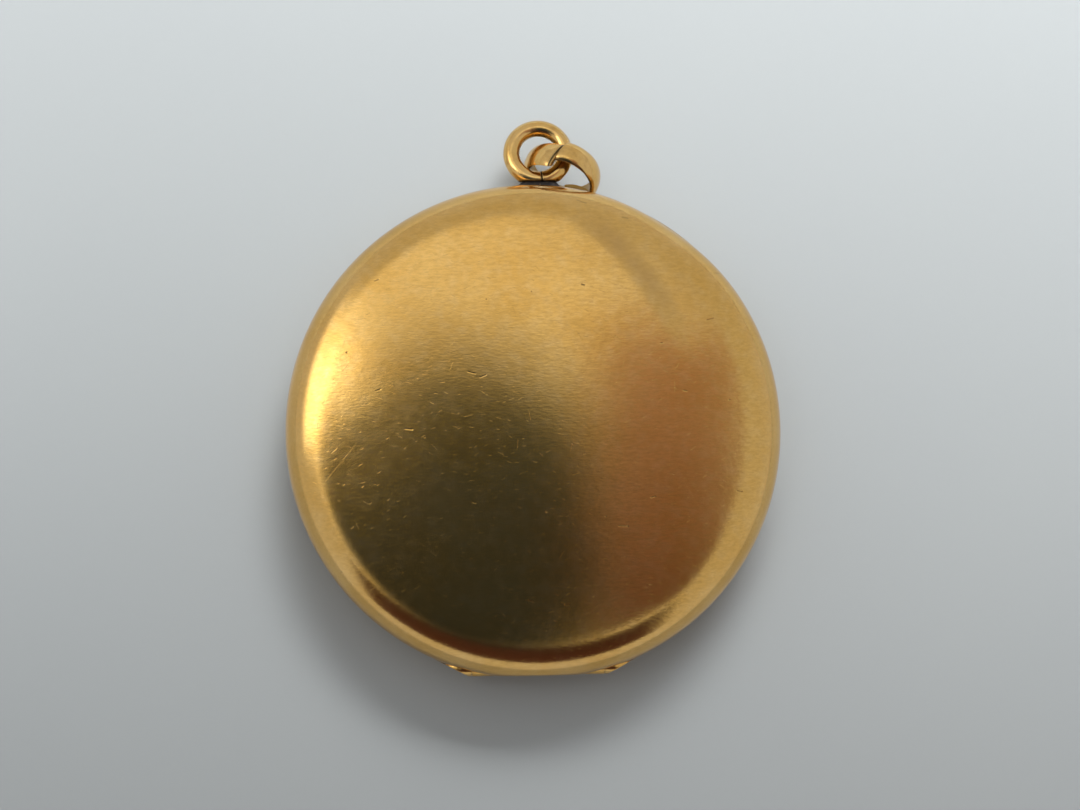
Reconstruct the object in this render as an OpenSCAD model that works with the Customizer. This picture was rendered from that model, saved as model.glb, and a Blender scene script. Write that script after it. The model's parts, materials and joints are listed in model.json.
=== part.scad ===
// Round double-opening picture locket with a rear hinge, a fixed neck loop and a loose jump ring.
// It lies on its back cover: +Z points out of the front cover, +Y points to the neck loop.
// The origin is the middle of the flat on the back cover. Millimetres.

/* [Case] */
// Outer diameter of the round case
case_d = 28.5; // [24:0.5:34]
// Thickness of the closed case, from crown to crown
case_t = 6.8; // [6.6:0.1:7.4]
// Crown radius of the front cover
crown_r = 75; // [60:5:100]
// Radius of the rolled edge of both covers
roll_r = 2.1; // [1.9:0.1:2.3]
// Thickness of the sheet that the covers are struck from
sheet_t = 0.35; // [0.3:0.05:0.4]
// Radius of the flat in the middle of the back cover
flat_r = 7; // [5:0.5:8]

/* [Hinge] */
// Length of the hinge barrel
hinge_w = 7.6; // [7:0.2:8]
// Distance from the case's outer radius in to the outside of the barrel
hinge_inset = 0.25; // [0.2:0.01:0.3]
// Outer diameter of the hinge barrel
barrel_d = 1.1; // [1:0.05:1.2]
// Diameter of the hinge pin
pin_d = 0.54; // [0.4:0.02:0.6]
// Length of the middle knuckle
middle_w = 2.7; // [2.2:0.1:3.2]

/* [Picture compartments] */
// Bore radius of the rim rings that the picture frames press into
seat_r = 13.2; // [13.1:0.05:13.3]
// Radius of the picture opening in each frame
sight_r = 11.7; // [11:0.1:12.2]

/* [Neck loop] */
// Mean radius of the fixed neck loop
loop_r = 1.56; // [1.5:0.02:1.7]
// Diameter of the neck loop's wire
loop_wire = 0.96; // [0.8:0.02:1]
// Backward lean of the neck loop, in degrees
loop_lean = 10; // [0:1:15]
// Sideways offset of the neck loop from the middle of the case
neck_x = 0.55; // [0:0.05:0.6]

/* [Jump ring] */
// Outer radius of the jump ring
ring_ro = 2.3; // [2.28:0.01:2.32]
// Inner radius of the jump ring
ring_ri = 1.86; // [1.84:0.01:1.88]
// Width of the half-round band of the jump ring
ring_w = 1.48; // [1.4:0.01:1.5]

/* [Hidden] */
$fn = 240;

gold = [0.83, 0.62, 0.27];
bright_gold = [0.88, 0.70, 0.38];
brass = [0.72, 0.55, 0.28];
steel = [0.62, 0.60, 0.56];
tarnish = [0.20, 0.17, 0.14];
celluloid = [0.93, 0.90, 0.80];
card = [0.86, 0.80, 0.66];

// Small overlap and the size of the blocks that cut pieces away.
eps = 0.01;
cut = 3;

// Points along each arc of the turned profiles, and the angle left out where two arcs meet.
crown_steps = 11;
roll_steps = 14;
shoulder_steps = 8;
arc_skip = 5;

case_r = case_d / 2;
half_t = case_t / 2;
seam_z = half_t;
seam_gap = 0.04;
solder_gap = 0.02;
play = 0.02;

// The covers' edge is one arc about roll_c, tangent to the crown and to the vertical rim.
roll_x = case_r - roll_r;
roll_h = half_t - crown_r + sqrt(pow(crown_r - roll_r, 2) - pow(roll_x, 2));
crown_h = half_t - crown_r;
crown_a = atan2(roll_h - crown_h, roll_x);
crown_start_a = 89.2;

// The back has a flat middle, then a shoulder arc tangent to the flat and to the roll.
shoulder_x = roll_x - flat_r;
shoulder_d = half_t - roll_h;
shoulder_r = (pow(shoulder_x, 2) + pow(shoulder_d, 2) - pow(roll_r, 2)) / (2 * (shoulder_d - roll_r));
shoulder_h = half_t - shoulder_r;
shoulder_a = atan2(roll_h - shoulder_h, shoulder_x);

// Depths below the seam inside each half, from the seam towards the cover.
frame_h = 0.62;
frame_lip = 0.2;
frame_bevel = 0.06;
window_h = frame_h + frame_lip + play;
disc_t = 0.18;
card_h = window_h + disc_t + play;
frame_end = card_h + disc_t + play;
liner_h = frame_end + play;
shelf_h = liner_h + disc_t + play;
shelf_t = 0.2;
shelf_r = 11.9;
frame_r = seat_r - play;
disc_r = 12.6;

collar_ri = seat_r + play;
collar_ro = 13.48;
collar_up = 0.42;
collar_down = 0.4;
collar_round = 0.05;
collar_gap_a = 22;
collar_seat_r = collar_ro + play;
groove_r = collar_ro + 2 * play;
groove_h = 0.5;

barrel_r = barrel_d / 2;
notch_r = barrel_r + 0.07;
web_r = notch_r - eps;
pin_r = pin_d / 2;
pin_tight = 0.005;
pin_loose = 0.025;
hinge_line_y = -(case_r - hinge_inset);
axis_y = hinge_line_y + barrel_r;
relief_y = axis_y + barrel_r / 4;
relief_w = hinge_w + 0.2;
knuckle_gap = 0.06;
outer_w = (hinge_w - middle_w) / 2 - knuckle_gap;
notch_w = 2 * sqrt(pow(case_r, 2) - pow(axis_y, 2)) + 0.2;
notch_roof = 0.8 * notch_r;

// Each ear runs from the barrel's end along the line that is tangent to the case.
ear_x = relief_w / 2 + 0.03;
ear_len = sqrt(pow(ear_x, 2) + pow(hinge_line_y, 2) - pow(case_r, 2));
ear_a = atan2(ear_x, -hinge_line_y) + atan2(ear_len, case_r);

loop_y = case_r + 1.95;
loop_z = seam_z - 0.55;
loop_cut = 1.66;
saddle_w = 2.7;
saddle_d = 0.95;
saddle_flare = 0.12;
saddle_root = 0.6;
lip_a = 10.5;
lip_out = 0.3;
lip_r = 1.8;
lip_t = 0.45;
lip_drop = 0.06;
lip_x = neck_x + saddle_w / 2 + saddle_flare + solder_gap;

// Where the jump ring hangs at rest, from the middle of the neck loop, and the edges of its band.
ring_offset = [1.41, -1.06, -0.62];
ring_tilt = [0, 119.2, 70.1];
ring_edge = 0.05;
ring_shoulder = 0.25;

function arc(cx, cy, r, a0, a1, n) = [
    for (i = [0:n])
        let (a = a0 + (a1 - a0) * i / n) [cx + r * cos(a), cy + r * sin(a)]
];
function back_to_front(points) = [for (i = [len(points) - 1:-1:0]) points[i]];

// Outline of a cover in radius and height above the seam, set in by t, from the middle to the rim.
function front_line(t) = concat(
    [[0, half_t - t]],
    arc(0, crown_h, crown_r - t, crown_start_a, crown_a, crown_steps),
    arc(roll_x, roll_h, roll_r - t, crown_a - arc_skip, 0, roll_steps),
    [[case_r - t, seam_gap]]
);
function back_line(t) = concat(
    [[0, half_t - t]],
    arc(flat_r, shoulder_h, shoulder_r - t, 90, shoulder_a, shoulder_steps),
    arc(roll_x, roll_h, roll_r - t, shoulder_a - arc_skip, 0, roll_steps),
    [[case_r - t, seam_gap]]
);

// A profile above the seam, turned about Z; the back half is the same thing below the seam.
module front_turned(points) {
    translate([0, 0, seam_z]) rotate_extrude() polygon(points);
}

module back_turned(points) {
    translate([0, 0, seam_z]) mirror([0, 0, 1]) rotate_extrude() polygon(points);
}

module along_hinge(r, w) {
    translate([-w / 2, axis_y, seam_z]) rotate([0, 90, 0]) cylinder(r = r, h = w);
}

// The rim of the back half, grown by the solder gap, used to fit pieces on the outside of it.
module back_rim_solid() {
    translate([0, 0, seam_z - roll_h])
        rotate_extrude() translate([roll_x, 0]) circle(r = roll_r + solder_gap);
    translate([0, 0, seam_z - 2 * roll_h]) cylinder(r = case_r + solder_gap / 2, h = 2 * roll_h + cut);
}

module back_relief() {
    along_hinge(notch_r, relief_w);
    translate([-relief_w / 2, relief_y - cut, -cut]) cube([relief_w, cut, seam_z + 2 * cut]);
}

module front_relief() {
    along_hinge(notch_r, notch_w);
    translate([-notch_w / 2, axis_y - cut, seam_z - cut]) cube([notch_w, cut, cut + notch_roof]);
    translate([-notch_w / 2, hinge_line_y - cut, seam_z - cut]) cube([notch_w, cut, cut + half_t]);
}

module back_shell() color(gold) difference() {
    back_turned(concat(back_line(0), back_to_front(back_line(sheet_t))));
    back_relief();
}

module front_shell() color(gold) difference() {
    front_turned(concat(front_line(0), back_to_front(front_line(sheet_t))));
    front_relief();
}

// Ring soldered inside a cover: a wall that fills the rolled edge and a shelf for the liner plate.
rim_fit = sheet_t + solder_gap;
rim_a = acos((seat_r - roll_x) / (roll_r - rim_fit));
function rim_ring_line(top_r, top_h) = concat(
    [[top_r, seam_gap], [case_r - rim_fit, seam_gap]],
    arc(roll_x, roll_h, roll_r - rim_fit, 0, rim_a, shoulder_steps),
    [[seat_r, shelf_h + shelf_t], [shelf_r, shelf_h + shelf_t], [shelf_r, shelf_h], [seat_r, shelf_h]],
    [[seat_r, top_h], [top_r, top_h]]
);

module back_rim_ring() color(brass) difference() {
    back_turned(rim_ring_line(collar_seat_r, collar_down + play));
    back_relief();
}

module front_rim_ring() color(brass) difference() {
    front_turned(rim_ring_line(groove_r, groove_h));
    front_relief();
}

// Flat plate that closes the space behind the picture.
function plate_line(h, t, r) = [[0, h], [r, h], [r, h + t], [0, h + t]];

// Pressed ring with a lip over the window and a skirt that holds the window and card.
function frame_line() = [
    [sight_r, frame_h + frame_bevel], [sight_r + 2 * frame_bevel, frame_h],
    [frame_r - frame_bevel, frame_h], [frame_r, frame_h + frame_bevel],
    [frame_r, frame_end], [disc_r + play, frame_end],
    [disc_r + play, frame_h + frame_lip], [sight_r, frame_h + frame_lip]
];

module back_liner_plate() color(brass) back_turned(plate_line(liner_h, disc_t, frame_r));
module back_photo_card() color(card) back_turned(plate_line(card_h, disc_t, disc_r));
module back_window() color(celluloid) back_turned(plate_line(window_h, disc_t, disc_r));
module back_photo_frame() color(bright_gold) back_turned(frame_line());
module front_liner_plate() color(brass) front_turned(plate_line(liner_h, disc_t, frame_r));
module front_photo_card() color(card) front_turned(plate_line(card_h, disc_t, disc_r));
module front_window() color(celluloid) front_turned(plate_line(window_h, disc_t, disc_r));
module front_photo_frame() color(bright_gold) front_turned(frame_line());

// Open ring that stands up from the back rim; the front rim ring snaps over it.
module snap_collar() color(bright_gold)
    translate([0, 0, seam_z]) rotate([0, 0, collar_gap_a - 90])
        rotate_extrude(angle = 360 - 2 * collar_gap_a) polygon([
            [collar_ri, -collar_down], [collar_ro, -collar_down],
            [collar_ro, collar_up - 2 * collar_round], [collar_ro - 2 * collar_round, collar_up],
            [collar_ri + collar_round, collar_up], [collar_ri, collar_up - collar_round]
        ]);

module hinge_knuckle(x0, w, bore_r, side) color(gold) difference() {
    translate([x0, axis_y, seam_z]) union() {
        rotate([0, 90, 0]) cylinder(r = barrel_r, h = w);
        intersection() {
            rotate([0, 90, 0]) cylinder(r = web_r, h = w);
            translate([0, 0, side > 0 ? seam_gap : -cut - seam_gap]) cube([w, cut, cut]);
        }
    }
    translate([x0 - cut, axis_y, seam_z]) rotate([0, 90, 0]) cylinder(r = bore_r, h = w + 2 * cut);
}

module hinge_knuckle_left() hinge_knuckle(-hinge_w / 2, outer_w, pin_r + pin_tight, -1);
module hinge_knuckle_right() hinge_knuckle(hinge_w / 2 - outer_w, outer_w, pin_r + pin_tight, -1);
module hinge_knuckle_middle() hinge_knuckle(-middle_w / 2, middle_w, pin_r + pin_loose, 1);

module hinge_pin() color(steel) along_hinge(pin_r, hinge_w);

// Fairing from the end of the hinge barrel to the rim.
module hinge_ear(side) color(gold) mirror([side < 0 ? 1 : 0, 0, 0]) difference() {
    intersection() {
        translate([ear_x, hinge_line_y, seam_z]) rotate([0, 0, ear_a])
            translate([-cut, barrel_r, 0]) rotate([0, 90, 0]) cylinder(r = barrel_r, h = ear_len + cut);
        translate([ear_x, hinge_line_y - cut, seam_z - cut]) cube([ear_len, ear_len + cut, cut - seam_gap]);
    }
    back_rim_solid();
}
module hinge_ear_left() hinge_ear(-1);
module hinge_ear_right() hinge_ear(1);

// Small crescent on the back rim that a thumbnail pushes against.
module thumb_lip() color(gold) difference() {
    rotate([0, 0, -lip_a]) translate([0, case_r + lip_out - lip_r, seam_z - lip_t - lip_drop])
        cylinder(r = lip_r, h = lip_t);
    back_rim_solid();
    cylinder(r = roll_x, h = case_t);
    translate([lip_x - cut, roll_x, 0]) cube([cut, cut, case_t]);
}

// Block soldered to the back rim, filed flat on top for the loop.
module neck_saddle() color(tarnish) difference() {
    translate([neck_x, 0, seam_z - seam_gap - saddle_d]) linear_extrude(saddle_d) polygon([
        [-saddle_w / 2 - saddle_flare, case_r - saddle_root],
        [saddle_w / 2 + saddle_flare, case_r - saddle_root],
        [saddle_w / 2, loop_y - loop_cut - eps],
        [-saddle_w / 2, loop_y - loop_cut - eps]
    ]);
    cylinder(r = case_r + solder_gap, h = case_t);
}

// Round-wire loop, filed flat where it meets the saddle.
module neck_loop() color(gold) difference() {
    translate([neck_x, loop_y, loop_z]) rotate([-loop_lean, 0, 0])
        rotate_extrude() translate([loop_r, 0]) circle(r = loop_wire / 2);
    translate([neck_x - cut, loop_y - loop_cut - cut, loop_z - cut]) cube([2 * cut, cut, 2 * cut]);
}

// Half-round band, flat inside, that hangs on the right of the neck loop and leans down beside it.
function ring_dome(a) = [
    ring_ri + (ring_ro - ring_ri) * (ring_shoulder + (1 - ring_shoulder) * cos(a)),
    ring_w / 2 * sin(a)
];
module jump_ring() color(gold) translate([neck_x, loop_y, loop_z] + ring_offset) rotate(ring_tilt)
    rotate_extrude() polygon(concat(
        [[ring_ri, -ring_w / 2 + ring_edge], [ring_ri + ring_edge, -ring_w / 2]],
        [for (a = [-75:15:75]) ring_dome(a)],
        [[ring_ri + ring_edge, ring_w / 2], [ring_ri, ring_w / 2 - ring_edge]]
    ));

back_shell();
back_rim_ring();
back_liner_plate();
back_photo_card();
back_window();
back_photo_frame();
snap_collar();
hinge_ear_left();
hinge_ear_right();
hinge_knuckle_left();
hinge_knuckle_right();
hinge_pin();
thumb_lip();
neck_saddle();
neck_loop();
front_shell();
front_rim_ring();
front_liner_plate();
front_photo_card();
front_window();
front_photo_frame();
hinge_knuckle_middle();
jump_ring();
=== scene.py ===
"""Round picture locket: worn gold covers, hinge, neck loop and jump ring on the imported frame.

Shapes are built in millimetres in the row frame, and place() scales each finished mesh to metres.
"""

import json
import math

import bmesh
import bpy
import numpy as np
from mathutils import Matrix, Vector, noise


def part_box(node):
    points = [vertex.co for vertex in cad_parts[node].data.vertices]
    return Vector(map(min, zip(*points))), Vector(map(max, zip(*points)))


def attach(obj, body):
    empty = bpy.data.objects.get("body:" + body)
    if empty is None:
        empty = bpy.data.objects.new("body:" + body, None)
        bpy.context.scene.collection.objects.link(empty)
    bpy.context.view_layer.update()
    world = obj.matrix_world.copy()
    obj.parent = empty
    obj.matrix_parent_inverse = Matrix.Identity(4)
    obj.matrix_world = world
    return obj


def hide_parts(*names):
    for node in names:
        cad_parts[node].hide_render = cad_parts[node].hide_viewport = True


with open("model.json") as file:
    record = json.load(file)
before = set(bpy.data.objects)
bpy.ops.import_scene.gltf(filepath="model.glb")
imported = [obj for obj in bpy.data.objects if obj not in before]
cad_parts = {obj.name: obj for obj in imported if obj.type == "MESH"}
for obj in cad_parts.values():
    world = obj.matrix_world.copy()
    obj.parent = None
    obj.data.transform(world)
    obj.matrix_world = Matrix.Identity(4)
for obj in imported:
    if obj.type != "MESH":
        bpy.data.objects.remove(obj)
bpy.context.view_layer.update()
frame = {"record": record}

MM = 0.001

# ---------------------------------------------------------------- sizes, in millimetres


def span(node):
    """Lowest and highest corner of a CAD node."""
    return [np.array(corner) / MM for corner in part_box(node)]


case_low, case_high = span("back_shell")
CASE_R = (case_high[0] - case_low[0]) / 2
SEAM = span("front_shell")[1][2] / 2
SEAM_GAP = 0.04
SHEET = 0.35
CROWN_R = 75.0
ROLL_R = 2.1
FLAT_R = 7.0
PLAY = 0.02

ROLL_X = CASE_R - ROLL_R
ROLL_H = SEAM - CROWN_R + math.sqrt((CROWN_R - ROLL_R) ** 2 - ROLL_X**2)
CROWN_H = SEAM - CROWN_R
CROWN_A = math.degrees(math.atan2(ROLL_H - CROWN_H, ROLL_X))
SHOULDER_R = ((ROLL_X - FLAT_R) ** 2 + (SEAM - ROLL_H) ** 2 - ROLL_R**2) / (2 * (SEAM - ROLL_H - ROLL_R))
SHOULDER_H = SEAM - SHOULDER_R
SHOULDER_A = math.degrees(math.atan2(ROLL_H - SHOULDER_H, ROLL_X - FLAT_R))

PIN_R = (span("hinge_pin")[1][2] - span("hinge_pin")[0][2]) / 2
AXIS_Y = -13.45
BARREL_R = 0.55
NOTCH_R = BARREL_R + 0.07
HINGE_W, MIDDLE_W, KNUCKLE_GAP = 7.6, 2.7, 0.06
HINGE_LINE = AXIS_Y - BARREL_R
RELIEF_W = HINGE_W + 0.2
EAR_X = RELIEF_W / 2 + 0.03
EAR_IN = HINGE_W / 2 + 0.02

LOOP_C = np.array((0.55, CASE_R + 1.95, SEAM - 0.55))
LOOP_R, WIRE_R, LOOP_LEAN = 1.56, 0.48, 10
LOOP_FOOT = LOOP_C[1] - 1.66
chain_ring = next(mount for mount in frame["record"]["mounts"] if mount["name"] == "chain_ring")
RING_C, RING_N = np.array(chain_ring["pos_m"]) / MM, np.array(chain_ring["axis"])
RING_RI, RING_W = chain_ring["dims"]["r_mm"], chain_ring["dims"]["length_mm"]
BAND_T = 0.44


# ---------------------------------------------------------------- mesh helpers


def arc(cx, cy, r, a0, a1, n):
    """Points on an arc, from angle a0 to a1 in degrees."""
    return [(cx + r * math.cos(a), cy + r * math.sin(a)) for a in np.radians(np.linspace(a0, a1, n))]


def rounded(points, radius, steps=3):
    """A closed outline with every corner off the axis rounded."""
    made = []
    for i, corner in enumerate(points):
        p, a, b = (np.array(q, float) for q in (corner, points[i - 1], points[(i + 1) % len(points)]))
        if p[0] < 1e-6:
            made.append(tuple(p))
            continue
        la, lb = np.linalg.norm(a - p), np.linalg.norm(b - p)
        r = min(radius, 0.45 * la, 0.45 * lb)
        start, end = p + (a - p) / la * r, p + (b - p) / lb * r
        for t in np.linspace(0, 1, steps + 1):
            made.append(tuple((1 - t) ** 2 * start + 2 * t * (1 - t) * p + t * t * end))
    return made


def solid(name, verts, faces):
    """A new object from points in millimetres, with its faces turned outwards."""
    mesh = bpy.data.meshes.new(name)
    mesh.from_pydata([tuple(v) for v in verts], [], [tuple(f) for f in faces])
    bm = bmesh.new()
    bm.from_mesh(mesh)
    bmesh.ops.remove_doubles(bm, verts=bm.verts, dist=1e-5)
    bmesh.ops.recalc_face_normals(bm, faces=bm.faces)
    bm.to_mesh(mesh)
    bm.free()
    obj = bpy.data.objects.new(name, mesh)
    bpy.context.scene.collection.objects.link(obj)
    return obj


def loft(name, sections, ring=False, wrap=True):
    """Joins sections of equal length. ring closes the row of sections, wrap closes each section."""
    grid = np.asarray(sections, float)
    rows, cols = grid.shape[:2]
    faces = []
    for i in range(rows if ring else rows - 1):
        j = (i + 1) % rows
        for k in range(cols if wrap else cols - 1):
            m = (k + 1) % cols
            faces.append((i * cols + k, j * cols + k, j * cols + m, i * cols + m))
    if not ring:
        faces.append(tuple(range(cols)))
        faces.append(tuple(range(rows * cols - 1, (rows - 1) * cols - 1, -1)))
    return solid(name, grid.reshape(-1, 3), faces)


def turned(name, line, up=1, steps=360, gap=0.0):
    """A profile of (radius, height above the seam) turned about Z, gap degrees open at -Y."""
    flat = np.array(line, float)
    angles = np.radians(np.linspace(gap - 90, 270 - gap, steps + (gap > 0), endpoint=gap > 0))
    sections = [
        np.column_stack((flat[:, 0] * math.cos(a), flat[:, 0] * math.sin(a), SEAM + up * flat[:, 1]))
        for a in angles
    ]
    return loft(name, sections, ring=gap == 0, wrap=flat[0, 0] > 1e-6)


def rod(x0, x1, y, z, r, steps=96):
    """A round cutter along X."""
    angles = np.linspace(0, 2 * math.pi, steps, endpoint=False)
    loop = [(y + r * math.cos(a), z + r * math.sin(a)) for a in angles]
    return loft("cutter", [[(x, *q) for q in loop] for x in (x0, x1)])


def block(low, high):
    """A box cutter."""
    (x0, y0, z0), (x1, y1, z1) = low, high
    loop = [(x0, y0), (x1, y0), (x1, y1), (x0, y1)]
    return loft("cutter", [[(*q, z) for q in loop] for z in (z0, z1)])


def applied(obj):
    """Applies the object's modifiers."""
    dg = bpy.context.evaluated_depsgraph_get()
    mesh = bpy.data.meshes.new_from_object(obj.evaluated_get(dg), depsgraph=dg)
    obj.modifiers.clear()
    obj.data = mesh
    return obj


def combine(obj, operation, *others):
    """Cuts, joins or intersects other solids, which are used up."""
    for other in others:
        step = obj.modifiers.new("step", "BOOLEAN")
        step.operation = operation
        step.solver = "EXACT"
        step.object = other
        applied(obj)
        bpy.data.objects.remove(other)
    return obj


def softened(obj, voxel, passes):
    """Rebuilds a small solid as one even mesh and rounds its edges."""
    step = obj.modifiers.new("remesh", "REMESH")
    step.mode = "VOXEL"
    step.voxel_size = voxel
    smooth = obj.modifiers.new("smooth", "SMOOTH")
    smooth.factor = 0.5
    smooth.iterations = passes
    return applied(obj)


def points(obj):
    """The vertices as an array."""
    co = np.empty(len(obj.data.vertices) * 3, np.float32)
    obj.data.vertices.foreach_get("co", co)
    return co.reshape(-1, 3).astype(float)


def moved(obj, change):
    """Moves the vertices: change takes an array of points and gives the new ones."""
    obj.data.vertices.foreach_set("co", change(points(obj)).astype(np.float32).ravel())
    obj.data.update()
    return obj


def paint(obj, name, amount):
    """Stores 0 to 1 on each vertex, for the materials to read by name."""
    values = np.clip(amount(points(obj)), 0, 1).astype(np.float32)
    obj.data.attributes.new(name, "FLOAT", "POINT").data.foreach_set("value", values)
    return obj


def smoothstep(x, low, high):
    """0 below low, 1 above high, smooth between."""
    t = np.clip((x - low) / (high - low), 0, 1)
    return t * t * (3 - 2 * t)


def ripple(co, scale, seed):
    """Smooth noise at each point, about -1 to 1."""
    return np.array([noise.noise(Vector(p) * scale + Vector((seed, 2 * seed, 3 * seed))) for p in co])


def place(obj, name, node, material, body, crease=32):
    """Scales to metres, shades, and puts the piece on its body in place of its CAD node."""
    obj.name = name
    obj.data.name = name
    obj.data.transform(Matrix.Scale(MM, 4))
    obj.data.shade_smooth()
    obj.data.set_sharp_from_angle(angle=math.radians(crease))
    obj.data.materials.clear()
    obj.data.materials.append(material)
    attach(obj, body)
    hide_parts(node)
    return obj


# ---------------------------------------------------------------- materials


class Finish:
    """A material's nodes, with its coordinates in millimetres."""

    def __init__(self, name):
        self.material = bpy.data.materials.new(name)
        self.material.use_nodes = True
        self.tree = self.material.node_tree
        self.tree.nodes.clear()
        where = self.node("TexCoord").outputs["Object"]
        self.mm = self.scaled(where, (1 / MM,) * 3)
        self.facing = self.node("TexCoord").outputs["Normal"]

    def node(self, kind, fields=None, **sockets):
        made = self.tree.nodes.new("ShaderNode" + kind)
        for key, value in (fields or {}).items():
            setattr(made, key, value)
        for key, value in sockets.items():
            self.put(made.inputs[key.replace("_", " ")], value)
        return made

    def put(self, socket, value):
        if isinstance(value, bpy.types.NodeSocket):
            self.tree.links.new(value, socket)
        else:
            socket.default_value = value

    def calc(self, operation, a, b=0.0):
        made = self.node("Math", {"operation": operation})
        self.put(made.inputs[0], a)
        self.put(made.inputs[1], b)
        return made.outputs[0]

    def vector(self, operation, a, b=(0, 0, 0)):
        made = self.node("VectorMath", {"operation": operation})
        self.put(made.inputs[0], a)
        self.put(made.inputs[1], b)
        return made.outputs[0]

    def scaled(self, a, factors):
        return self.vector("MULTIPLY", a, factors)

    def fit(self, value, low, high, start=0.0, end=1.0, shape="LINEAR"):
        """Maps low..high to start..end, held at both ends."""
        made = self.node(
            "MapRange",
            {"interpolation_type": shape},
            Value=value,
            From_Min=low,
            From_Max=high,
            To_Min=start,
            To_Max=end,
        )
        return made.outputs["Result"]

    def noise(self, scale, detail=2.0, stretch=(1, 1, 1), rough=0.5):
        made = self.node(
            "TexNoise", Vector=self.scaled(self.mm, stretch), Scale=scale, Detail=detail, Roughness=rough
        )
        return made.outputs["Fac"]

    def attribute(self, name):
        return self.node("Attribute", {"attribute_name": name}).outputs["Fac"]

    def mix(self, factor, a, b):
        made = self.node("Mix", {"data_type": "RGBA"})
        self.put(made.inputs[0], factor)
        self.put(made.inputs[6], a if isinstance(a, bpy.types.NodeSocket) else (*a, 1))
        self.put(made.inputs[7], b if isinstance(b, bpy.types.NodeSocket) else (*b, 1))
        return made.outputs[2]

    def hairlines(self, cell, length, width, share, spread=2 * math.pi, seed=0.0, bend=0.15):
        """Fine scratches, at most one in each cell of a scattered pattern over X and Y."""
        where = self.vector("ADD", self.scaled(self.mm, (1 / cell,) * 3), (seed, seed * 1.7, 0))
        cells = self.node("TexVoronoi", {"voronoi_dimensions": "2D"}, Vector=where, Scale=1.0)
        chance = self.node("SeparateColor", Color=cells.outputs["Color"]).outputs
        offset = self.vector("SUBTRACT", where, cells.outputs["Position"])
        angle = self.calc("MULTIPLY", self.calc("SUBTRACT", chance["Red"], 0.5), spread)
        turned_offset = self.node(
            "VectorRotate", {"rotation_type": "Z_AXIS"}, Vector=offset, Angle=angle
        ).outputs[0]
        axes = self.node("SeparateXYZ", Vector=turned_offset).outputs
        along = self.calc("ABSOLUTE", axes["X"])
        bow = self.calc("MULTIPLY", self.calc("MULTIPLY", along, along), bend)
        across = self.calc("ABSOLUTE", self.calc("SUBTRACT", axes["Y"], bow))
        line = self.fit(across, 0.0, width / cell, 1.0, 0.0)
        reach = self.calc("MULTIPLY", chance["Green"], length / cell)
        ends = self.fit(self.calc("SUBTRACT", reach, along), 0.0, 0.15 * length / cell)
        here = self.calc("LESS_THAN", chance["Blue"], share)
        return self.calc("MULTIPLY", self.calc("MULTIPLY", line, ends), here)

    def pits(self, cell, radius, share, seed=0.0):
        """Small round pits, at most one in each cell of a scattered pattern."""
        where = self.vector("ADD", self.scaled(self.mm, (1 / cell,) * 3), (seed, seed, seed))
        cells = self.node("TexVoronoi", Vector=where, Scale=1.0)
        chance = self.node("SeparateColor", Color=cells.outputs["Color"]).outputs
        size = self.calc("MULTIPLY", chance["Red"], radius / cell)
        dot = self.fit(self.calc("SUBTRACT", size, cells.outputs["Distance"]), 0.0, 0.4 * radius / cell)
        return self.calc("MULTIPLY", dot, self.calc("LESS_THAN", chance["Blue"], share))

    def sum(self, *terms):
        """Adds (socket, weight) pairs."""
        total = None
        for socket, weight in terms:
            part = self.calc("MULTIPLY", socket, weight)
            total = part if total is None else self.calc("ADD", total, part)
        return total

    def radius(self):
        """Distance from the middle of the case, in millimetres."""
        axes = self.node("SeparateXYZ", Vector=self.mm).outputs
        squares = self.calc("ADD", self.calc("POWER", axes["X"], 2.0), self.calc("POWER", axes["Y"], 2.0))
        return self.calc("SQRT", squares)

    def bumped(self, height):
        """A normal from a height in millimetres."""
        return self.node("Bump", Strength=1.0, Distance=MM, Height=height).outputs["Normal"]

    def finish(self, **sockets):
        shader = self.node("BsdfPrincipled", **sockets)
        out = self.node("OutputMaterial")
        self.tree.links.new(shader.outputs["BSDF"], out.inputs["Surface"])
        return self.material


GOLD = (0.80, 0.485, 0.145)
DEEP_GOLD = (0.74, 0.42, 0.105)
PALE_GOLD = (0.83, 0.56, 0.24)
BRUSHED_GOLD = (0.50, 0.29, 0.07)
CREASE_SHADE_GOLD = (0.52, 0.31, 0.12)
DIRTY_GOLD = (0.42, 0.22, 0.07)
# Colour of dirt, and of painted shade in seams, corners and under edges.
DARK_GRIME_AND_SHADE = (0.030, 0.019, 0.011)


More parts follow.
